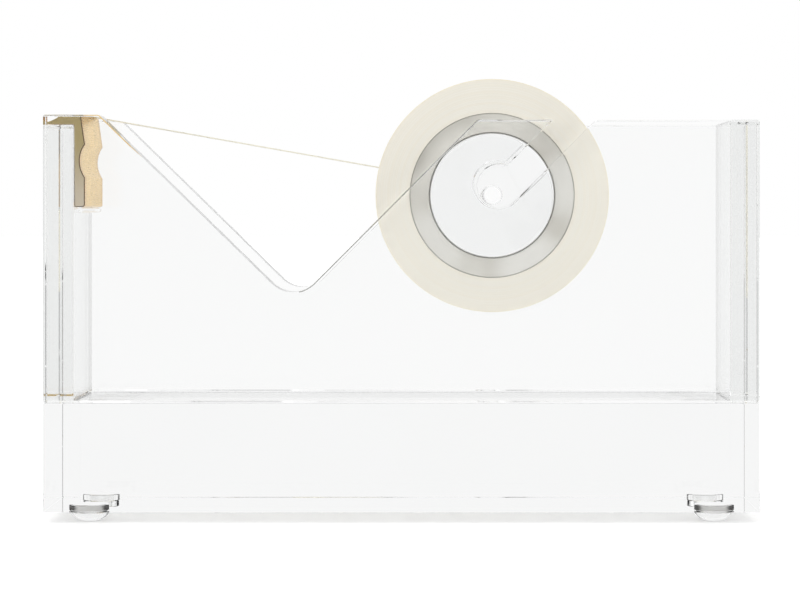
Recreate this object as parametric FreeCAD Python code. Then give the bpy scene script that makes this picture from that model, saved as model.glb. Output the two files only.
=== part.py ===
import FreeCAD, Part
import math
import os

# Desk tape dispenser in clear acrylic: a solid block under four cemented walls,
# a metal cutter over the left wall, and a roll of tape on a hub whose axle
# drops into slots in the two long panels.
# Millimetres. X runs along the body from the cutter to the roll, -Y is the
# front, +Z is up. The origin is the middle of the body on the plane of the feet.

# ---- body ----
body_width = 146.0
sheet = 5.6                  # nominal quarter-inch acrylic sheet
block_height = 22.2
panel_height = 57.8          # long panels above the block

# ---- raised ends of the long panels beside the cutter ----
ear_width = 11.4
ear_rise = 1.0

# ---- finger notch in the long panels ----
notch_depth = 37.6           # sharp corner of the notch below the panel's top
notch_from_pocket = 42.1     # level distance from that corner to the axle's pocket
notch_angle = 45.0           # rise of the arm towards the roll
notch_radius = 6.0

# ---- roll of tape and its hub ----
tape_width = 19.0
tape_side_gap = 2.05         # tape to panel, each side
core_bore_radius = 12.85     # standard one-inch core
core_wall = 4.2
wound_thick = 7.05           # tape wound on the core
core_rim = 0.8               # plastic skin inside and outside the core
core_recess = 0.4            # web of the core below its rims
hub_fit = 0.10               # hub in the core, on the radius
hub_edge = 0.5
hub_side_gap = 0.4           # hub to panel, each side
axle_radius = 2.0
axle_run = 0.05              # axle in the hub, on the radius
axle_set_back = 0.3          # axle end inside the panel's outer face
axle_edge = 0.3

# ---- axle pockets and their slots ----
pocket_room = 2.4            # pocket's radius beyond the axle's
pocket_seat = 0.06           # axle to pocket wall where it rests
slot_angle = 45.0
hook_clear = 0.1             # axle under the slot's upper edge as it slides out
pocket_from_right = 53.0     # pocket centre to the body's right face
pocket_below_top = 13.5
seat_lean = 36.5             # the tape's pull leans the axle off the lowest point

# ---- cutter ----
cutter_side_gap = 0.15       # cutter to panel, each side
cutter_overhang = 1.0        # teeth beyond the outer face of the wall
platform_thick = 1.95
leg_thick = 2.14
leg_height = 19.0
leg_top_set_in = 0.85        # the leg is thinner at the top than lower down
leg_slope_height = 6.0
leg_edge = 0.3               # chamfer at the leg's foot
groove_depth = 1.05
groove_height = 6.7
groove_land = 0.2            # flat between the slope and the groove
lip_height = 0.8
lip_hollow = 0.4             # metal left under the hollow behind the lip
hollow_from_tip = 1.3
hollow_end = 4.2
hollow_sag = 0.14            # dip of the curve from the hollow up to the platform
tooth_pitch = 1.25
tooth_depth = 0.9
tooth_land = 0.1             # blunt tip left on each tooth
bond_thick = 0.15            # double-sided film behind the cutter
bond_margin = 1.0
wall_drop = 0.9              # cutter's wall below the long panels

# ---- stop pin under the cutter ----
pin_radius = 0.6
pin_gap = 0.05               # pin under the leg
pin_from_wall = 1.4          # pin centre to the wall's inner face
pin_end_gap = 0.02

# ---- free end of the tape ----
film = 0.06
lay_gap = 0.05               # tape over the cutter
peel_gap = 0.08              # tape off the roll where it peels
peel_angle = 166.0           # round the roll, from level on the right
tape_cut_margin = 0.1        # cut end of the tape behind the teeth roots

# ---- feet ----
foot_radius = 4.0
foot_height = 2.2            # below the block
foot_flat_radius = 1.6
foot_rim = 0.45              # straight side under the block
foot_bulge = 0.26            # how full the dome is between rim and flat
foot_in_x = 8.9              # foot centre from the body's end
foot_in_y = 5.2              # foot centre from the body's long side
recess_depth = 1.3           # blind hole in the block for the foot
recess_fit = 0.06            # foot in its hole, on the radius
glue_radius = 3.7
glue_thick = 0.1

# ---- places worked out from the sizes above ----
half_width = body_width / 2
inner_depth = tape_width + 2 * tape_side_gap
half_depth = inner_depth / 2 + sheet
underside = foot_height
block_top = underside + block_height
panel_top = block_top + panel_height
ear_top = panel_top + ear_rise
left_wall_inner = -half_width + sheet
left_wall_top = panel_top - wall_drop
platform_top = left_wall_top + bond_thick + platform_thick
core_radius = core_bore_radius + core_wall
roll_radius = core_radius + wound_thick
pocket_radius = axle_radius + pocket_room
pocket_x = half_width - pocket_from_right
pocket_z = panel_top - pocket_below_top
seat_offset = pocket_room - pocket_seat
lean = math.radians(seat_lean)
axle_x = pocket_x - seat_offset * math.sin(lean)
axle_z = pocket_z - seat_offset * math.cos(lean)

Vec = FreeCAD.Vector
ALONG_Y = Vec(0, 1, 0)


def box(x0, x1, y0, y1, z0, z1):
    return Part.makeBox(x1 - x0, y1 - y0, z1 - z0, Vec(x0, y0, z0))


def rod(radius, x, z, y0, y1):
    return Part.makeCylinder(radius, y1 - y0, Vec(x, y0, z), ALONG_Y)


def line(a, b, y):
    return Part.LineSegment(Vec(a[0], y, a[1]), Vec(b[0], y, b[1])).toShape()


def arc(a, mid, b, y):
    ends = [Vec(p[0], y, p[1]) for p in (a, mid, b)]
    return Part.Arc(*ends).toShape()


def prism(edges, depth):
    """A solid from edges that close a loop in an XZ plane, pulled along +Y."""
    return Part.Face(Part.Wire(edges)).extrude(Vec(0, depth, 0))


def foot_places():
    """Name and centre of each foot."""
    for end, side_x in (("left", -1), ("right", 1)):
        for face, side_y in (("front", -1), ("back", 1)):
            x = side_x * (half_width - foot_in_x)
            y = side_y * (half_depth - foot_in_y)
            yield face + "_" + end, x, y


def save(name, shape):
    shape.exportStep("parts/" + name + ".step")


# ---- base block ----

def base_block():
    """Solid cast block with a blind hole under each corner for a foot."""
    block = box(-half_width, half_width, -half_depth, half_depth, underside, block_top)
    radius = foot_radius + recess_fit
    holes = [Part.makeCylinder(radius, recess_depth, Vec(x, y, underside))
             for _, x, y in foot_places()]
    return block.cut(holes)


# ---- long panels ----

def notch_edges(y):
    """Outline of the notch: ear, left arm, rounded floor, right arm, and back over the top."""
    left_x = -half_width + ear_width
    corner_x = pocket_x - notch_from_pocket
    corner_z = panel_top - notch_depth
    clear_z = ear_top + ear_rise
    left_dir = Vec(left_x - corner_x, 0, ear_top - corner_z).normalize()
    rise = math.radians(notch_angle)
    right_dir = Vec(math.cos(rise), 0, math.sin(rise))

    # both arms run past the panel's top so that the cut comes out clean
    left_run = (clear_z - corner_z) / left_dir.z
    right_run = (clear_z - corner_z) / right_dir.z
    corner = Vec(corner_x, y, corner_z)
    left_far = corner + left_dir * left_run
    right_far = corner + right_dir * right_run

    half_opening = left_dir.getAngle(right_dir) / 2
    tangent = notch_radius / math.tan(half_opening)
    left_tan = corner + left_dir * tangent
    right_tan = corner + right_dir * tangent
    middle = (left_dir + right_dir).normalize()
    floor = corner + middle * (notch_radius / math.sin(half_opening) - notch_radius)

    return [Part.LineSegment(left_far, left_tan).toShape(),
            Part.Arc(left_tan, floor, right_tan).toShape(),
            Part.LineSegment(right_tan, right_far).toShape(),
            Part.LineSegment(right_far, left_far).toShape()]


def axle_slot(y0, depth):
    """Round pocket with a slanted slot up to the panel's top.

    The slot's lower edge is tangent to the pocket; its upper edge cuts across
    the pocket and leaves a hook over the axle.
    """
    turn = math.radians(slot_angle)
    along = Vec(math.cos(turn), 0, math.sin(turn))
    across = Vec(math.sin(turn), 0, -math.cos(turn))
    centre = Vec(pocket_x, y0, pocket_z)
    axle = Vec(axle_x, y0, axle_z)
    run = (ear_top - pocket_z) / along.z + 2 * pocket_radius
    low = centre + across * pocket_radius
    high = centre + across * ((axle - centre).dot(across) - axle_radius - hook_clear)
    corners = [low, low + along * run, high + along * run, high]
    slot = Part.Face(Part.makePolygon(corners + corners[:1])).extrude(Vec(0, depth, 0))
    pocket = rod(pocket_radius, pocket_x, pocket_z, y0, y0 + depth)
    return pocket.fuse(slot).removeSplitter()


def long_panel(y0):
    """Front or back panel: both are cut to one outline."""
    ear_x = -half_width + ear_width + 2 * ear_rise    # the notch trims it
    panel = box(-half_width, half_width, y0, y0 + sheet, block_top, panel_top)
    ear = box(-half_width, ear_x, y0, y0 + sheet, panel_top - sheet, ear_top)
    panel = panel.fuse(ear).removeSplitter()
    panel = panel.cut(prism(notch_edges(y0), sheet))
    return panel.cut(axle_slot(y0, sheet)).removeSplitter()


# ---- end walls ----

def end_wall(x0, top):
    """Short wall standing on the block between the long panels."""
    return box(x0, x0 + sheet, -inner_depth / 2, inner_depth / 2, block_top, top)


# ---- cutter ----

cutter_length = inner_depth - 2 * cutter_side_gap
leg_outer = left_wall_inner + bond_thick
leg_inner = leg_outer + leg_thick
tip_x = -half_width - cutter_overhang
leg_bottom = platform_top - leg_height


def cutter_section(y):
    """Closed outline of the drawn strip: lip, hollow, platform, corner and grooved leg."""
    under = left_wall_top + bond_thick
    corner_x = leg_inner - leg_top_set_in
    slope_foot = (leg_inner, platform_top - leg_slope_height)
    groove_top = (leg_inner, slope_foot[1] - groove_land)
    groove_deep = (leg_inner - groove_depth, groove_top[1] - groove_height / 2)
    groove_foot = (leg_inner, groove_top[1] - groove_height)
    lip_top = (tip_x, under + lip_height)
    hollow = (tip_x + hollow_from_tip, under + lip_hollow)
    crest = (tip_x + hollow_end, platform_top)
    rise = Vec(crest[0] - hollow[0], 0, crest[1] - hollow[1])
    dip = Vec(rise.z, 0, -rise.x).normalize() * hollow_sag
    rise_mid = ((hollow[0] + crest[0]) / 2 + dip.x, (hollow[1] + crest[1]) / 2 + dip.z)
    inner_foot = (leg_inner, leg_bottom + leg_edge)
    chamfer_foot = (leg_inner - leg_edge, leg_bottom)
    return [line((tip_x, under), lip_top, y),
            line(lip_top, hollow, y),
            arc(hollow, rise_mid, crest, y),
            line(crest, (corner_x, platform_top), y),
            line((corner_x, platform_top), slope_foot, y),
            line(slope_foot, groove_top, y),
            arc(groove_top, groove_deep, groove_foot, y),
            line(groove_foot, inner_foot, y),
            line(inner_foot, chamfer_foot, y),
            line(chamfer_foot, (leg_outer, leg_bottom), y),
            line((leg_outer, leg_bottom), (leg_outer, under), y),
            line((leg_outer, under), (tip_x, under), y)]


def tooth_gap(y_mid):
    """Wedge between two teeth, cut down through the lip."""
    z0 = left_wall_top - platform_thick
    z1 = platform_top + platform_thick
    half = (tooth_pitch - tooth_land) / 2
    outside = tip_x - cutter_overhang
    points = [Vec(outside, y_mid - half, z0), Vec(outside, y_mid + half, z0),
              Vec(tip_x, y_mid + half, z0), Vec(tip_x + tooth_depth, y_mid, z0),
              Vec(tip_x, y_mid - half, z0)]
    return Part.Face(Part.makePolygon(points + points[:1])).extrude(Vec(0, 0, z1 - z0))


def cutter_blade():
    y0 = -cutter_length / 2
    blade = prism(cutter_section(y0), cutter_length)
    gaps = int(cutter_length / tooth_pitch)
    first = -(gaps - 1) / 2 * tooth_pitch
    wedges = [tooth_gap(first + i * tooth_pitch) for i in range(gaps)]
    return blade.cut(wedges).removeSplitter()


def cutter_bond():
    """Film of adhesive between the leg and the wall."""
    z0 = leg_bottom + bond_margin
    z1 = left_wall_top - bond_margin
    y = cutter_length / 2 - bond_margin
    return box(left_wall_inner, leg_outer, -y, y, z0, z1)


def stop_pin():
    """Clear rod from panel to panel under the leg."""
    z = leg_bottom - pin_gap - pin_radius
    x = left_wall_inner + pin_from_wall
    y = inner_depth / 2 - pin_end_gap
    return rod(pin_radius, x, z, -y, y)


# ---- roll, hub and axle ----

def turned(profile, x, z):
    """Solid of revolution about a Y axis through (x, z) from (radius, y) points."""
    points = [Vec(x + r, y, z) for r, y in profile]
    face = Part.Face(Part.makePolygon(points + points[:1]))
    return face.revolve(Vec(x, 0, z), ALONG_Y, 360)


def hub_wheel():
    """Disc that fills the core and turns on the axle."""
    r0 = axle_radius + axle_run
    r1 = core_bore_radius - hub_fit
    y = inner_depth / 2 - hub_side_gap
    e = hub_edge
    profile = [(r0, -y), (r1 - e, -y), (r1, -y + e), (r1, y - e), (r1 - e, y), (r0, y)]
    return turned(profile, axle_x, axle_z)


def axle_rod():
    y = half_depth - axle_set_back
    e = axle_edge
    profile = [(0, -y), (axle_radius - e, -y), (axle_radius, -y + e),
               (axle_radius, y - e), (axle_radius - e, y), (0, y)]
    return turned(profile, axle_x, axle_z)


def tape_core():
    """Moulded ring with a shallow recess in each side between its rims."""
    r0, r1 = core_bore_radius, core_radius
    s0, s1 = r0 + core_rim, r1 - core_rim
    y = tape_width / 2
    web = y - core_recess
    profile = [(r0, -y), (s0, -y), (s0, -web), (s1, -web), (s1, -y), (r1, -y),
               (r1, y), (s1, y), (s1, web), (s0, web), (s0, y), (r0, y)]
    return turned(profile, axle_x, axle_z)


def tape_winding():
    y = tape_width / 2
    profile = [(core_radius, -y), (roll_radius, -y), (roll_radius, y), (core_radius, y)]
    return turned(profile, axle_x, axle_z)


def tape_lead():
    """Free length of tape: off the roll, straight to the cutter's corner, flat to the teeth."""
    turn = math.radians(peel_angle)
    reach = roll_radius + peel_gap
    start = Vec(axle_x + reach * math.cos(turn), 0, axle_z + reach * math.sin(turn))
    bend = Vec(leg_inner - leg_top_set_in, 0, platform_top + lay_gap)
    end = Vec(tip_x + tooth_depth + tape_cut_margin, 0, platform_top + lay_gap)
    slant = (start - bend).normalize()
    normal = Vec(-slant.z, 0, slant.x)

    # the upper line keeps the film's thickness along both runs
    miter = film * math.tan(slant.getAngle(Vec(1, 0, 0)) / 2)
    upper_bend = bend + Vec(miter, 0, film)
    upper_start = start + normal * film
    upper_end = end + Vec(0, 0, film)
    lower_start, lower_bend, lower_end = start, bend, end
    points = [lower_start, lower_bend, lower_end, upper_end, upper_bend, upper_start]
    moved = [Vec(p.x, -tape_width / 2, p.z) for p in points]
    return Part.Face(Part.makePolygon(moved + moved[:1])).extrude(Vec(0, tape_width, 0))


# ---- feet ----

def foot(x, y):
    """Clear soft bumper: straight side out of its hole, then a dome down to a flat."""
    top = underside + recess_depth - glue_thick
    rim = underside - foot_rim
    flat = Vec(foot_flat_radius, 0, 0)
    shoulder = Vec(foot_radius, 0, rim)
    chord = shoulder - flat
    outward = Vec(chord.z, 0, -chord.x).normalize()
    middle = flat + chord * 0.5 + outward * (foot_bulge * chord.Length / 2)
    edges = [Part.LineSegment(Vec(0, 0, 0), flat).toShape(),
             Part.Arc(flat, middle, shoulder).toShape(),
             Part.LineSegment(shoulder, Vec(foot_radius, 0, top)).toShape(),
             Part.LineSegment(Vec(foot_radius, 0, top), Vec(0, 0, top)).toShape(),
             Part.LineSegment(Vec(0, 0, top), Vec(0, 0, 0)).toShape()]
    bumper = Part.Face(Part.Wire(edges)).revolve(Vec(0, 0, 0), Vec(0, 0, 1), 360)
    bumper.translate(Vec(x, y, 0))
    return bumper


def foot_glue(x, y):
    """Adhesive disc between the foot and the end of its hole."""
    z = underside + recess_depth - glue_thick
    return Part.makeCylinder(glue_radius, glue_thick, Vec(x, y, z))


os.makedirs("parts", exist_ok=True)
save("base_block", base_block())
save("front_panel", long_panel(-half_depth))
save("back_panel", long_panel(half_depth - sheet))
save("cutter_end_wall", end_wall(-half_width, left_wall_top))
save("roll_end_wall", end_wall(half_width - sheet, panel_top))
save("cutter_blade", cutter_blade())
save("cutter_bond", cutter_bond())
save("stop_pin", stop_pin())
save("axle_rod", axle_rod())
save("hub_wheel", hub_wheel())
save("tape_core", tape_core())
save("tape_winding", tape_winding())
save("tape_lead", tape_lead())

for place, foot_x, foot_y in foot_places():
    save("foot_" + place, foot(foot_x, foot_y))
    save("foot_glue_" + place, foot_glue(foot_x, foot_y))
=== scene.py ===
import math
import bmesh
import bpy
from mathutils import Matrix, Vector


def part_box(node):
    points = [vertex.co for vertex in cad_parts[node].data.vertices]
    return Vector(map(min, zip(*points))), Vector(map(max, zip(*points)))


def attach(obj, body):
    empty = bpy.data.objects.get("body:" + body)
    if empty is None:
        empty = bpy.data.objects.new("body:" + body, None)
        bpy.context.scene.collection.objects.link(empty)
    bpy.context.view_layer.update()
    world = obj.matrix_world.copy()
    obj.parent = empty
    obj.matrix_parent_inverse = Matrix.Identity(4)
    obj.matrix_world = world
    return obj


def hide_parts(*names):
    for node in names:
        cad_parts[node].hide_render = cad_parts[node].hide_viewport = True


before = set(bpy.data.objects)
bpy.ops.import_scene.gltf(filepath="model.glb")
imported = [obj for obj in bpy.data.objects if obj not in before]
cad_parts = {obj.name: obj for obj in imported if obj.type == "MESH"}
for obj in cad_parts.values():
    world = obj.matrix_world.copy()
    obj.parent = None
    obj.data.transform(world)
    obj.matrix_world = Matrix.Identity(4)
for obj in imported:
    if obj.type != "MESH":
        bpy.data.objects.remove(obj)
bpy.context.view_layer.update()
MM = 0.001


# ---- Studio: camera, pale floor and soft white light ----
# The dispenser stands on a white sweep. The camera looks square at the front panel from a little
# right of its middle, above the block, and its lens is shifted to keep the uprights upright.

front_lo, front_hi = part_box("front_panel")
block_lo, block_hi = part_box("base_block")
front_face = front_lo.y

CAMERA_RIGHT = 8.9 * MM
CAMERA_BACK = 432 * MM
CAMERA_ABOVE_BLOCK_FOOT = 62.2 * MM
SENSOR = 36.0
LENS = 95.5
SHIFT_ACROSS = -0.0563
SHIFT_DOWN = -0.1163

lens = bpy.data.cameras.new("studio_camera")
lens.sensor_width = SENSOR
lens.lens = LENS
lens.shift_x = SHIFT_ACROSS
lens.shift_y = SHIFT_DOWN
lens.clip_start = 0.01
lens.clip_end = 50
camera = bpy.data.objects.new("studio_camera", lens)
bpy.context.scene.collection.objects.link(camera)
camera.location = (CAMERA_RIGHT, front_face - CAMERA_BACK, block_lo.z + CAMERA_ABOVE_BLOCK_FOOT)
camera.rotation_euler = (math.pi / 2, 0, 0)
bpy.context.scene.camera = camera
bpy.context.scene.view_settings.view_transform = "Standard"

cycles = bpy.context.scene.cycles
cycles.max_bounces = 32
cycles.transmission_bounces = 32
cycles.glossy_bounces = 16
cycles.transparent_max_bounces = 32


class Wire:
    """One output socket of a node tree; arithmetic on it adds Math nodes."""

    def __init__(self, graph, socket):
        self.graph = graph
        self.socket = socket

    def maths(self, operation, *values):
        inputs = dict(enumerate(values))
        return self.graph.add("ShaderNodeMath", {"operation": operation}, inputs)

    def sister(self, name):
        """Another output of the same node."""
        return Wire(self.graph, self.socket.node.outputs[name])

    def magnitude(self):
        return self.maths("ABSOLUTE", self)

    def __add__(self, other):
        return self.maths("ADD", self, other)

    def __sub__(self, other):
        return self.maths("SUBTRACT", self, other)

    def __rsub__(self, other):
        return self.maths("SUBTRACT", other, self)

    def __mul__(self, other):
        return self.maths("MULTIPLY", self, other)

    def __truediv__(self, other):
        return self.maths("DIVIDE", self, other)

    def __pow__(self, other):
        return self.maths("POWER", self, other)

    __radd__ = __add__
    __rmul__ = __mul__

    def at_most(self, other):
        return self.maths("MINIMUM", self, other)

    def at_least(self, other):
        return self.maths("MAXIMUM", self, other)

    def band(self, low, high):
        """0 below low, 1 above high, and a smooth step between."""
        return self.graph.add("ShaderNodeMapRange", {"interpolation_type": "SMOOTHSTEP"},
                              {"Value": self, "From Min": low, "From Max": high})


class Graph:
    """A node tree under construction."""

    def __init__(self, tree):
        self.tree = tree
        tree.nodes.clear()

    def add(self, kind, settings=None, inputs=None, output=0):
        """One node: its settings first, then its inputs' values or links. Returns one output."""
        node = self.tree.nodes.new(kind)
        for name, value in (settings or {}).items():
            setattr(node, name, value)
        for name, value in (inputs or {}).items():
            if isinstance(value, Wire):
                self.tree.links.new(value.socket, node.inputs[name])
            else:
                node.inputs[name].default_value = value
        return Wire(self, node.outputs[output] if len(node.outputs) else None)

    def mix(self, factor, a, b):
        """Colour a where the factor is 0 and b where it is 1."""
        return self.add("ShaderNodeMix", {"data_type": "RGBA"}, {0: factor, 6: a, 7: b}, output=2)


def linear(red, green, blue):
    """A colour written in 0 to 255 display values, as scene linear."""
    def one(value):
        share = value / 255
        return share / 12.92 if share <= 0.04045 else ((share + 0.055) / 1.055) ** 2.4
    return (one(red), one(green), one(blue))


def rgba(colour):
    return (*colour, 1)


def finish_of(name, **constants):
    """A new material with one Principled shader; returns it, its graph and the shader's node."""
    material = bpy.data.materials.new(name)
    material.use_nodes = True
    graph = Graph(material.node_tree)
    shader = graph.add("ShaderNodeBsdfPrincipled", {}, constants)
    graph.add("ShaderNodeOutputMaterial", {}, {"Surface": shader})
    return material, graph, shader.socket.node


def drive(graph, node, **links):
    """Links worked-out values to a shader's sockets."""
    for name, wire in links.items():
        graph.tree.links.new(wire.socket, node.inputs[name.replace("_", " ")])


def seen_plainly(graph):
    """1 for what the camera sees directly, in a reflection or through clear plastic."""
    camera_ray = graph.add("ShaderNodeLightPath")
    return camera_ray.at_least(camera_ray.sister("Is Glossy Ray")).at_least(
        camera_ray.sister("Is Transmission Ray"))


# How bright the room looks in gloss and through clear plastic, by direction.
AHEAD_TONE = 0.76            # behind the camera
LEFT_TONE = 0.66
RIGHT_TONE = 0.42
OVERHEAD_TONE = 1.0
LIGHT_LEFT = 1.27            # plain light on matt surfaces, from the left and from the right
LIGHT_RIGHT = 1.05
THROUGH_GAIN = 0.55          # makes up for what the clear walls take from light inside them

world = bpy.data.worlds.new("soft_room")
bpy.context.scene.world = world
world.use_nodes = True
room = Graph(world.node_tree)
heading = room.add("ShaderNodeTexCoord")
toward = room.add("ShaderNodeSeparateXYZ", {}, {"Vector": heading})
to_back = toward.sister("Y")
to_up = toward.sister("Z")
steep = to_up.magnitude().band(0.55, 0.85)
ahead_share = (0 - to_back).band(-0.05, 0.6)
right_share = toward.band(0.70, 0.92)
left_share = (0 - toward).band(0.70, 0.92)
level_tone = ((1 - ahead_share * (1 - AHEAD_TONE)).at_most(1 - right_share * (1 - RIGHT_TONE))
              .at_most(1 - left_share * (1 - LEFT_TONE)))
room_tone = level_tone + (OVERHEAD_TONE - level_tone) * steep
backdrop = room.add("ShaderNodeBackground", {}, {"Color": (1, 1, 1, 1), "Strength": room_tone})
look = room.add("ShaderNodeLightPath")
through_wall = look.sister("Is Transmission Ray")
side_light = ((LIGHT_LEFT + (LIGHT_RIGHT - LIGHT_LEFT) * (toward * 0.5 + 0.5))
              * (1 + through_wall * THROUGH_GAIN))
plain_light = room.add("ShaderNodeBackground", {}, {"Color": (1, 1, 1, 1),
                                                     "Strength": side_light})
white = room.add("ShaderNodeBackground", {}, {"Color": (1, 1, 1, 1), "Strength": 1.0})
lights_matt = look.sister("Diffuse Depth").at_most(1.0)
mirrored = room.add("ShaderNodeMixShader", {}, {0: lights_matt, 1: backdrop, 2: plain_light})
seen = room.add("ShaderNodeMixShader", {}, {0: look, 1: mirrored, 2: white})
room.add("ShaderNodeOutputWorld", {}, {"Surface": seen})

FLOOR_REACH = 4.0
FLOOR_TONE = 0.75
FLOOR_GLOW = 0.36            # lifts the sweep to white for the camera and in gloss
sweep = bpy.data.meshes.new("floor")
sweep.from_pydata([(-FLOOR_REACH, -FLOOR_REACH, 0), (FLOOR_REACH, -FLOOR_REACH, 0),
                   (FLOOR_REACH, FLOOR_REACH, 0), (-FLOOR_REACH, FLOOR_REACH, 0)],
                  [], [(0, 1, 2, 3)])
floor = bpy.data.objects.new("floor", sweep)
bpy.context.scene.collection.objects.link(floor)
floor.visible_glossy = False
floor.visible_transmission = False
paper, paper_graph, paper_shader = finish_of(
    "white_sweep", **{"Base Color": rgba([FLOOR_TONE] * 3), "Roughness": 0.9,
                      "Specular IOR Level": 0.0})
glow = seen_plainly(paper_graph) * FLOOR_GLOW
drive(paper_graph, paper_shader, Emission_Color=paper_graph.add(
    "ShaderNodeCombineXYZ", {}, {"X": glow, "Y": glow, "Z": glow}))
paper_shader.inputs["Emission Strength"].default_value = 1.0
sweep.materials.append(paper)


def lamp(name, place, size, watts, target=(0, 0, 0.045)):
    """A soft box that faces the dispenser."""
    light = bpy.data.lights.new(name, "AREA")
    light.shape = "RECTANGLE"
    light.size, light.size_y = size
    light.energy = watts
    holder = bpy.data.objects.new(name, light)
    bpy.context.scene.collection.objects.link(holder)
    holder.location = place
    holder.rotation_euler = (Vector(target) - Vector(place)).to_track_quat("-Z", "Y").to_euler()


lamp("soft_box_above", (-0.25, -0.35, 0.9), (0.7, 0.5), 0.35)


# ---- Base block ----
# A solid bar of cast acrylic, cut square, with flame-polished faces and finely broken corners.
# Four shallow blind holes in its underside take the feet; the walls are cemented on its top.

GLUE_LINE = 0.02 * MM        # each cemented face stands this far back
CORNER_BREAK = 0.22 * MM
SHARP = math.radians(30)


def merged_copy(node):
    """A bmesh of a CAD node with its loose triangles joined into whole flat faces."""
    bm = bmesh.new()
    bm.from_mesh(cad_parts[node].data)
    bmesh.ops.remove_doubles(bm, verts=bm.verts, dist=0.001 * MM)
    bmesh.ops.dissolve_limit(bm, angle_limit=math.radians(0.5), verts=bm.verts,
                             edges=bm.edges, delimit={"NORMAL"})
    return bm


def sharp_edges(bm):
    return [e for e in bm.edges if e.is_manifold and e.calc_face_angle(0) > SHARP]


def piece_from(name, bm, materials, node, body):
    """Turns a bmesh into a finished piece that stands for a CAD node and rides on its body."""
    mesh = bpy.data.meshes.new(name)
    bm.to_mesh(mesh)
    bm.free()
    for material in materials:
        mesh.materials.append(material)
    mesh.shade_smooth()
    mesh.set_sharp_from_angle(angle=SHARP)
    piece = bpy.data.objects.new(name, mesh)
    bpy.context.scene.collection.objects.link(piece)
    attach(piece, body)
    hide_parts(node)
    return piece


def clear_acrylic(name, haze, tint):
    """Clear cast acrylic; haze is the roughness of the worked face, tint what it lets through."""
    material, graph, shader = finish_of(name, **{"IOR": 1.49, "Transmission Weight": 1.0})
    place = graph.add("ShaderNodeTexCoord", {}, {}, output="Object")
    wear = graph.add("ShaderNodeTexNoise", {}, {"Vector": place, "Scale": 900.0, "Detail": 3.0})
    cloud = graph.add("ShaderNodeTexNoise", {}, {"Vector": place, "Scale": 35.0, "Detail": 2.0})
    drive(graph, shader, Roughness=wear.band(0.45, 0.75) * haze,
          Base_Color=graph.mix(cloud.band(0.3, 0.7), rgba(tint),
                               rgba([share ** 1.2 for share in tint])))
    return material


PANEL_TINT = (0.990, 0.992, 0.991)
BLOCK_TINT = (0.945, 0.948, 0.947)
END_WALL_TINT = (0.895, 0.900, 0.897)
# A dark tint for one bevel of the finger notch: painted shade.
PAINTED_SHADE_BEVEL_TINT = (0.22, 0.22, 0.20)

polished_face = clear_acrylic("polished_acrylic", 0.004, PANEL_TINT)
routed_face = clear_acrylic("routed_acrylic", 0.30, PANEL_TINT)
block_face = clear_acrylic("block_acrylic", 0.004, BLOCK_TINT)
drilled_face = clear_acrylic("drilled_acrylic", 0.02, BLOCK_TINT)
painted_shade_bevel = clear_acrylic("painted_shade_bevel_acrylic", 0.40, PAINTED_SHADE_BEVEL_TINT)
end_wall_face = clear_acrylic("end_wall_acrylic", 0.004, END_WALL_TINT)


def acrylic_piece(name, node, body="root", corner=CORNER_BREAK, faces=None, kind_of=None):
    """A piece of acrylic: the CAD shape, drawn in by the glue line, with broken corners.

    kind_of gives the number of a face's material; it is told whether the face is a bevel.
    """
    bm = merged_copy(node)
    bm.normal_update()
    draw_in(bm, GLUE_LINE)
    broken = set(bmesh.ops.bevel(bm, geom=sharp_edges(bm), offset=corner, segments=1,
                                 affect="EDGES", clamp_overlap=True)["faces"])
    bm.normal_update()
    for face in bm.faces:
        face.material_index = kind_of(face, face in broken) if kind_of else 0
    return piece_from(name, bm, faces or [polished_face], node, body)


def draw_in(bm, distance):
    """Moves every face inwards by the distance, keeping corners square."""
    moves = {}
    for vert in bm.verts:
        normals = []
        for face in vert.link_faces:
            if all(face.normal.angle(n) > math.radians(2) for n in normals):
                normals.append(face.normal.copy())
        moves[vert] = corner_shift(normals, distance)
    for vert, shift in moves.items():
        vert.co += shift


def corner_shift(normals, distance):
    """The move that takes a corner inwards by the distance along each of its face normals."""
    shift = Vector()
    for _ in range(12):
        for normal in normals:
            shift -= normal * (distance + shift.dot(normal))
    return shift


def painted_shade_hole_wall():
    """A matt coat on a front blind hole's near wall: painted light face-on, painted shade edge-on.

    It is a choice of look and stands for no real layer.
    """
    material, graph, shader = finish_of("painted_shade_hole_wall", Roughness=0.5)
    place = graph.add("ShaderNodeTexCoord", {}, {}, output="Object")
    specks = graph.add("ShaderNodeTexNoise", {}, {"Vector": place, "Scale": 2200.0, "Detail": 3.0})
    edge_on = graph.add("ShaderNodeLayerWeight", {}, {"Blend": 0.5}, output=1)
    drive(graph, shader, Base_Color=graph.mix(
        (edge_on + specks * 0.12).band(0.22, 0.48), rgba(linear(206, 205, 203)),
        rgba(linear(62, 60, 58))))
    return material


foot_lo, foot_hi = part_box("foot_front_left")
front_foot_y = (foot_lo.y + foot_hi.y) / 2


def hole_kind(face, is_broken):
    """1 for the drilled faces of the blind holes, 2 for the near walls of the two front ones."""
    middle = face.calc_center_median()
    above = middle.z - block_lo.z
    inside = min(middle.x - block_lo.x, block_hi.x - middle.x,
                 middle.y - block_lo.y, block_hi.y - middle.y)
    if not (0.1 * MM < above < 2.0 * MM and inside > 0.3 * MM):
        return 0
    near_wall = abs(face.normal.z) < 0.3 and middle.y < front_foot_y
    return 2 if near_wall and not is_broken else 1


# The near walls of the two front holes carry painted light and painted shade.
acrylic_piece("base_block_polished", "base_block",
              faces=[block_face, drilled_face, painted_shade_hole_wall()], kind_of=hole_kind)


# ---- Walls ----
# Two long panels and two short end walls, sawn from quarter-inch sheet. Faces and outer edges
# are glossy; the finger notch and the axle slots are a little hazier.

axle_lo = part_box("axle_rod")[0]


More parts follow.
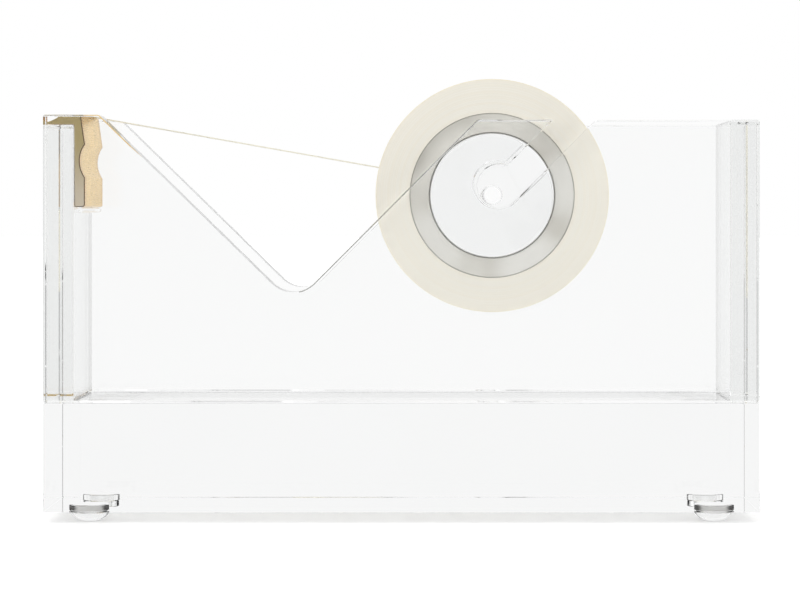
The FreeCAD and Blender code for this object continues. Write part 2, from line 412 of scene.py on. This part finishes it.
def routed_kind(face, is_broken):
    """1 for what the router left: the finger notch, the axle pocket and its slot."""
    middle = face.calc_center_median()
    return int(abs(face.normal.y) < 0.8 and middle.z > block_hi.z + 2 * MM
               and front_lo.x + 20 * MM < middle.x < front_hi.x - 20 * MM
               and middle.z < front_hi.z - 1.2 * MM)


def front_kind(face, is_broken):
    """As routed_kind, with 2 for the notch's bevel beside the roll, darkened as painted shade."""
    kind = routed_kind(face, is_broken)
    beside_roll = (face.normal.x < -0.2 and face.normal.y < 0
                   and face.calc_center_median().x < axle_lo.x - 5 * MM)
    return 2 if kind and is_broken and beside_roll else kind


acrylic_piece("front_panel_polished", "front_panel",
              faces=[polished_face, routed_face, painted_shade_bevel], kind_of=front_kind)
acrylic_piece("back_panel_polished", "back_panel", faces=[polished_face, routed_face],
              kind_of=routed_kind)
acrylic_piece("cutter_end_wall_polished", "cutter_end_wall", faces=[end_wall_face])
acrylic_piece("roll_end_wall_polished", "roll_end_wall", faces=[end_wall_face])


# ---- Cutter ----
# A drawn brass strip, gold plated: serrated lip over the end wall, hollow behind the teeth,
# flat platform for the tape and a grooved leg bonded to the wall with clear film.

GOLD_FACE = linear(242, 205, 124)
GOLD_NEAR_ENDS = linear(196, 146, 70)
# End-face colours, dark at the top and pale at the foot: painted shade and painted light.
GOLD_END_SHADED_TOP = linear(196, 176, 118)
GOLD_END_LIT_FOOT = linear(234, 220, 196)
# Dark gold for the bevel round the end faces: painted shade.
GOLD_SHADED_EDGE = linear(112, 82, 34)
END_BEVEL = 0.18 * MM
LIP_WIDTH = 4.4 * MM         # the toothed lip's share of the width, which has no bevel
cutter_lo, cutter_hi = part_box("cutter_blade")


def gold_plate(name, face_colour, near_ends_colour, shaded_end_top, lit_end_foot, roughness):
    """Gold-coloured plate that turns darker towards its two ends, then to an end colour at them.
    """
    material, graph, shader = finish_of(name, **{"Metallic": 1.0})
    place = graph.add("ShaderNodeTexCoord", {}, {}, output="Object")
    streak_place = graph.add("ShaderNodeMapping", {},
                             {"Vector": place, "Scale": (9000, 120, 9000)})
    streaks = graph.add("ShaderNodeTexNoise", {}, {"Vector": streak_place, "Scale": 1.0,
                                                   "Detail": 2.0})
    blush = graph.add("ShaderNodeTexNoise", {}, {"Vector": place, "Scale": 160.0, "Detail": 3.0})
    parts = graph.add("ShaderNodeSeparateXYZ", {}, {"Vector": place})
    across_cutter = parts.sister("Y").magnitude()
    height = parts.sister("Z")
    # The end faces and the narrow strips beside them.
    end_share = across_cutter.band(cutter_hi.y - 0.16 * MM, cutter_hi.y - 0.06 * MM)
    plain = graph.mix(blush.band(0.35, 0.75), rgba(face_colour),
                      rgba([c * 0.86 for c in face_colour]))
    # Darker towards both ends of the strip, set by place.
    near_ends = across_cutter.band(cutter_hi.y - 3.2 * MM, cutter_hi.y - 0.8 * MM)
    plain = graph.mix(near_ends * 0.45, plain, rgba(near_ends_colour))
    # The end faces have a colour of their own; its run from dark top to pale foot is painted shade
    # and painted light.
    end_colour = graph.mix(height.band(cutter_lo.z, cutter_hi.z - 4 * MM), rgba(lit_end_foot),
                           rgba(shaded_end_top))
    bump = graph.add("ShaderNodeBump", {}, {"Height": streaks, "Strength": 0.04,
                                            "Distance": 0.00005})
    drive(graph, shader, Base_Color=graph.mix(end_share, plain, end_colour),
          Roughness=streaks * 0.14 + (end_share * 0.12 + roughness), Normal=bump)
    return material


gold = gold_plate("gold_plate", GOLD_FACE, GOLD_NEAR_ENDS, GOLD_END_SHADED_TOP, GOLD_END_LIT_FOOT, 0.20)
# The bevel round each end face is dark gold: painted shade along the end's outline.
shaded_gold_edge = gold_plate("gold_plate_shaded_edge", GOLD_SHADED_EDGE, GOLD_SHADED_EDGE, GOLD_SHADED_EDGE, GOLD_SHADED_EDGE, 0.35)

bm = merged_copy("cutter_blade")
end_outline = [edge for edge in sharp_edges(bm)
               if abs(edge.verts[0].co.y - edge.verts[1].co.y) < 0.1 * MM
               and all(abs(vert.co.y) > cutter_hi.y - 0.02 * MM
                       and vert.co.x > cutter_lo.x + LIP_WIDTH for vert in edge.verts)]
edge_faces = bmesh.ops.bevel(bm, geom=end_outline, offset=END_BEVEL, segments=1,
                             affect="EDGES", clamp_overlap=True)["faces"]
for face in edge_faces:
    face.material_index = 1
piece_from("cutter_gold", bm, [gold, shaded_gold_edge], "cutter_blade", "root")

film_glue, glue_graph, glue_shader = finish_of(
    "clear_film", **{"IOR": 1.47, "Transmission Weight": 1.0})
glue_place = glue_graph.add("ShaderNodeTexCoord", {}, {}, output="Object")
bubbles = glue_graph.add("ShaderNodeTexVoronoi", {}, {"Vector": glue_place, "Scale": 1600.0})
drive(glue_graph, glue_shader, Roughness=0.12 + bubbles.band(0.1, 0.5) * 0.15,
      Base_Color=glue_graph.mix(bubbles.band(0.05, 0.3), (0.90, 0.90, 0.88, 1),
                                (0.97, 0.97, 0.95, 1)))
for glued in ("cutter_bond", "foot_glue_front_left", "foot_glue_front_right",
              "foot_glue_back_left", "foot_glue_back_right"):
    bm = merged_copy(glued)
    draw_in(bm, GLUE_LINE)
    piece_from(glued + "_film", bm, [film_glue], glued, "root")

acrylic_piece("stop_pin_polished", "stop_pin", corner=0.05 * MM)


# ---- Feet ----
# Four clear soft bumpers, pressed into the blind holes of the block, domed underneath.

bumper, bumper_graph, bumper_shader = finish_of(
    "clear_bumper", **{"IOR": 1.5, "Transmission Weight": 1.0})
bumper_place = bumper_graph.add("ShaderNodeTexCoord", {}, {}, output="Object")
mottle = bumper_graph.add("ShaderNodeTexNoise", {},
                          {"Vector": bumper_place, "Scale": 700.0, "Detail": 4.0})
drive(bumper_graph, bumper_shader, Roughness=0.04 + mottle.band(0.5, 0.8) * 0.12,
      Base_Color=bumper_graph.mix(mottle.band(0.4, 0.7), (0.985, 0.985, 0.985, 1),
                                  (0.94, 0.94, 0.935, 1)))
for corner in ("front_left", "front_right", "back_left", "back_right"):
    bm = merged_copy("foot_" + corner)
    piece_from("bumper_" + corner, bm, [bumper], "foot_" + corner, "root")


# ---- Hub and axle ----
# A turned disc of clear acrylic that fills the core, running on a clear rod whose ends sit in
# the pockets of the long panels.

acrylic_piece("hub_wheel_polished", "hub_wheel", body="roll", corner=0.1 * MM,
              faces=[block_face])
acrylic_piece("axle_rod_polished", "axle_rod", body="axle", corner=0.08 * MM)


# ---- Tape core ----
# A ring moulded in satin grey plastic, dished a little at each side between rounded edges. The
# tape is wound straight on it. Three pale fans on its sides are painted highlights, a choice of
# look; its inner and outer edges are darkened as painted shade.

roll_lo, roll_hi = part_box("tape_winding")
roll_centre = (roll_lo + roll_hi) / 2
roll_radius = (roll_hi.x - roll_lo.x) / 2
core_lo, core_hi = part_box("tape_core")
core_radius = (core_hi.x - core_lo.x) / 2
CORE_WALL = 4.2 * MM
AROUND = 180                 # facets round the core and the winding


def distance_from_axle(graph):
    """How far a point of a piece on the roll is from the axle, its place, and the two legs."""
    place = graph.add("ShaderNodeTexCoord", {}, {}, output="Object")
    parts = graph.add("ShaderNodeSeparateXYZ", {}, {"Vector": place})
    along = parts - roll_centre.x
    up = parts.sister("Z") - roll_centre.z
    return (along * along + up * up) ** 0.5, place, along, up


core, core_graph, core_shader = finish_of("core_plastic")
core_out, core_place, core_along, core_up = distance_from_axle(core_graph)
grain = core_graph.add("ShaderNodeTexNoise", {}, {"Vector": core_place, "Scale": 1400.0,
                                                  "Detail": 4.0})
flow = core_graph.add("ShaderNodeTexNoise", {}, {"Vector": core_place, "Scale": 90.0,
                                                 "Detail": 2.0})
moulded = core_graph.add("ShaderNodeTexNoise", {"noise_dimensions": "1D"},
                         {"W": core_out / MM, "Scale": 14.0, "Detail": 3.0})
# Painted highlight fans in the plastic's colour, placed by angle in degrees, so they turn with the
# roll.
painted_highlight_fans = 0.0
for fan_angle, strength in ((8, 0.7), (-62, 1.0), (218, 0.8)):
    toward_fan = (core_along * math.cos(math.radians(fan_angle))
                  + core_up * math.sin(math.radians(fan_angle))) / core_out
    painted_highlight_fans = toward_fan.band(0.84, 1.0) * strength + painted_highlight_fans
# The core's inner and outer edges are darkened: painted shade.
painted_shade_rims = (1 - core_out.band(core_radius - CORE_WALL, core_radius - CORE_WALL + 0.3 * MM)
        ).at_least(core_out.band(core_radius - 0.35 * MM, core_radius - 0.05 * MM))
plain = core_graph.mix(flow.band(0.3, 0.7), rgba(linear(228, 226, 218)),
                       rgba(linear(213, 210, 201)))
plain = core_graph.mix(painted_highlight_fans * 0.75, plain, rgba(linear(248, 247, 242)))
core_colour = core_graph.mix(painted_shade_rims * 0.75, plain, rgba(linear(136, 133, 122)))
core_bump = core_graph.add("ShaderNodeBump", {}, {"Height": moulded + grain * 0.3,
                                                  "Strength": 0.35, "Distance": 0.00006})
drive(core_graph, core_shader, Base_Color=core_colour, Roughness=0.24 + grain * 0.16,
      Normal=core_bump)
core_shader.inputs["Metallic"].default_value = 0.35


def turned(outline, middle, around):
    """A closed ring turned about Y from an outline of (radius, side) points."""
    bm = bmesh.new()
    rows = []
    for turn in range(around):
        angle = 2 * math.pi * turn / around
        rows.append([bm.verts.new((middle.x + radius * math.cos(angle), middle.y + side,
                                   middle.z + radius * math.sin(angle)))
                     for radius, side in outline])
    for row, after in zip(rows, rows[1:] + rows[:1]):
        for i in range(len(outline)):
            j = (i + 1) % len(outline)
            bm.faces.new((row[i], row[j], after[j], after[i]))
    bmesh.ops.recalc_face_normals(bm, faces=bm.faces)
    return bm


# One side of the ring from bore to outside: rounded edges and a shallow dish between them.
core_half = core_hi.y
core_side = []
DISH = 0.35 * MM
STEPS = 14
for i in range(STEPS + 1):
    share = i / STEPS
    core_side.append((core_radius - CORE_WALL + 0.25 * MM + share * (CORE_WALL - 0.45 * MM),
                      core_half - DISH * math.sin(math.pi * share) ** 0.8))
core_side = ([(core_radius - CORE_WALL, core_half - 0.2 * MM),
              (core_radius - CORE_WALL + 0.07 * MM, core_half - 0.06 * MM)] + core_side
             + [(core_radius - 0.06 * MM, core_half - 0.06 * MM),
                (core_radius - 0.01 * MM, core_half - 0.2 * MM)])
core_outline = core_side + [(radius, -side) for radius, side in reversed(core_side)]
piece_from("core_ring", turned(core_outline, roll_centre, AROUND), [core], "tape_core", "roll")


# ---- Wound tape ----
# Matt acetate film wound tightly on the core. Its layers never lie quite true, so the sides are
# fine concentric ridges; the outermost turn shows the film's own pale yellow.

wound, wound_graph, wound_shader = finish_of("wound_tape")
wound_out = distance_from_axle(wound_graph)[0]
turns = wound_graph.add("ShaderNodeTexNoise", {"noise_dimensions": "1D"},
                        {"W": wound_out / MM, "Scale": 9.0, "Detail": 5.0, "Roughness": 0.7})
bands = wound_graph.add("ShaderNodeTexNoise", {"noise_dimensions": "1D"},
                        {"W": wound_out / MM, "Scale": 0.9, "Detail": 1.0})
side_colour = wound_graph.mix(turns.band(0.3, 0.7), rgba(linear(233, 229, 216)),
                              rgba(linear(245, 242, 233)))
side_colour = wound_graph.mix(bands.band(0.35, 0.65) * 0.5, side_colour,
                              rgba(linear(238, 232, 217)))
outer_turn = wound_out.band(roll_radius - 0.25 * MM, roll_radius - 0.05 * MM)
wound_colour = wound_graph.mix(outer_turn * 0.8, side_colour, rgba(linear(240, 232, 206)))
wound_bump = wound_graph.add("ShaderNodeBump", {}, {"Height": turns, "Strength": 0.10,
                                                    "Distance": 0.00004})
drive(wound_graph, wound_shader, Base_Color=wound_colour, Normal=wound_bump,
      Roughness=0.5 - outer_turn * 0.2)


class Nodes(Graph):
    """A Geometry Nodes tree with named inputs."""

    def __init__(self, name, sizes):
        super().__init__(bpy.data.node_groups.new(name, "GeometryNodeTree"))
        self.keys = {}
        for size, kind in sizes.items():
            socket = self.tree.interface.new_socket(size, in_out="INPUT", socket_type=kind)
            self.keys[size] = socket.identifier
        self.tree.interface.new_socket("Geometry", in_out="OUTPUT",
                                       socket_type="NodeSocketGeometry")
        self.given = self.tree.nodes.new("NodeGroupInput")

    def size(self, name):
        return Wire(self, self.given.outputs[name])

    def finish(self, geometry, material):
        """Real geometry with its material on, as the tree's result."""
        real = self.add("GeometryNodeRealizeInstances", {}, {"Geometry": geometry})
        dressed = self.add("GeometryNodeSetMaterial", {}, {"Geometry": real, "Material": material})
        self.add("NodeGroupOutput", {}, {"Geometry": dressed})

    def grow(self, **sizes):
        """The tree's result at the given sizes, as a bmesh."""
        seed_mesh = bpy.data.meshes.new("seed")
        grower = bpy.data.objects.new("grower", seed_mesh)
        bpy.context.scene.collection.objects.link(grower)
        modifier = grower.modifiers.new("grow", "NODES")
        modifier.node_group = self.tree
        for size, value in sizes.items():
            modifier[self.keys[size]] = value
        grown = bpy.data.meshes.new_from_object(
            grower.evaluated_get(bpy.context.evaluated_depsgraph_get()))
        bm = bmesh.new()
        bm.from_mesh(grown)
        grower.modifiers.clear()
        bpy.data.objects.remove(grower)
        bpy.data.meshes.remove(grown)
        return bm


# The outline of one side of the winding climbs outwards layer by layer; each layer stands in by
# its own small amount. The outline is closed over the two sides and carried round a circle.
FLOAT, WHOLE, PLACE = "NodeSocketFloat", "NodeSocketInt", "NodeSocketVector"
SEED = 7
BACK_LAYERS = 500            # numbers the back's layers apart from the front's
winding = Nodes("winding", {"Layers": WHOLE, "Layer": FLOAT, "Inner": FLOAT, "HalfWidth": FLOAT,
                            "Ragged": FLOAT, "Around": WHOLE, "Centre": PLACE})
points_a_side = winding.size("Layers") * 2
start = winding.add("GeometryNodeCurvePrimitiveLine")
outline = winding.add("GeometryNodeResampleCurve", {},
                      {"Curve": start, "Count": points_a_side * 2})
index = winding.add("GeometryNodeInputIndex")
on_back = winding.add("ShaderNodeMath", {"operation": "GREATER_THAN"},
                      {0: index, 1: points_a_side - 0.5})
step = index + on_back * (points_a_side * 2 - 1 - index * 2)
layer = winding.add("ShaderNodeMath", {"operation": "FLOOR"}, {0: step * 0.5 + 0.01})
radius = winding.size("Inner") + (step - layer) * winding.size("Layer")
stand_in = winding.add("FunctionNodeRandomValue", {"data_type": "FLOAT"},
                       {2: 0.0, 3: winding.size("Ragged"),
                        "ID": layer + on_back * BACK_LAYERS, "Seed": SEED}, output=1)
side_at = (winding.size("HalfWidth") - stand_in) * (1 - on_back * 2)
outline_point = winding.add("ShaderNodeCombineXYZ", {},
                            {"X": radius - winding.size("Inner"), "Y": side_at})
outline = winding.add("GeometryNodeSetPosition", {},
                      {"Geometry": outline, "Position": outline_point})
outline = winding.add("GeometryNodeSetSplineCyclic", {}, {"Geometry": outline, "Cyclic": True})
ring = winding.add("GeometryNodeCurvePrimitiveCircle", {"mode": "RADIUS"},
                   {"Resolution": winding.size("Around"), "Radius": winding.size("Inner")})
wheel = winding.add("GeometryNodeCurveToMesh", {}, {"Curve": ring, "Profile Curve": outline})
wheel = winding.add("GeometryNodeTransform", {},
                    {"Geometry": wheel, "Rotation": (math.pi / 2, 0, 0),
                     "Translation": winding.size("Centre")})
winding.finish(wheel, wound)

LAYERS = 44
RAGGED = 0.06 * MM
bm = winding.grow(Layers=LAYERS, Layer=(roll_radius - core_radius) / LAYERS, Inner=core_radius,
                  HalfWidth=roll_hi.y, Ragged=RAGGED, Around=AROUND, Centre=tuple(roll_centre))
bmesh.ops.recalc_face_normals(bm, faces=bm.faces)
piece_from("wound_tape_roll", bm, [wound], "tape_winding", "roll")


# ---- Free end of the tape ----
# One thickness of film from the roll to the cutter, lying flat on the platform.

film, film_graph, film_shader = finish_of("tape_film", Roughness=0.35)
film_place = film_graph.add("ShaderNodeTexCoord", {}, {}, output="Object")
film_streaks = film_graph.add("ShaderNodeMapping", {}, {"Vector": film_place,
                                                        "Scale": (30, 900, 30)})
film_tone = film_graph.add("ShaderNodeTexNoise", {}, {"Vector": film_streaks, "Scale": 1.0,
                                                      "Detail": 2.0})
drive(film_graph, film_shader,
      Base_Color=film_graph.mix(film_tone, rgba(linear(250, 246, 224)),
                                rgba(linear(244, 238, 210))),
      Alpha=0.86 + film_tone * 0.08)
bm = merged_copy("tape_lead")
piece_from("tape_strip", bm, [film], "tape_lead", "axle")
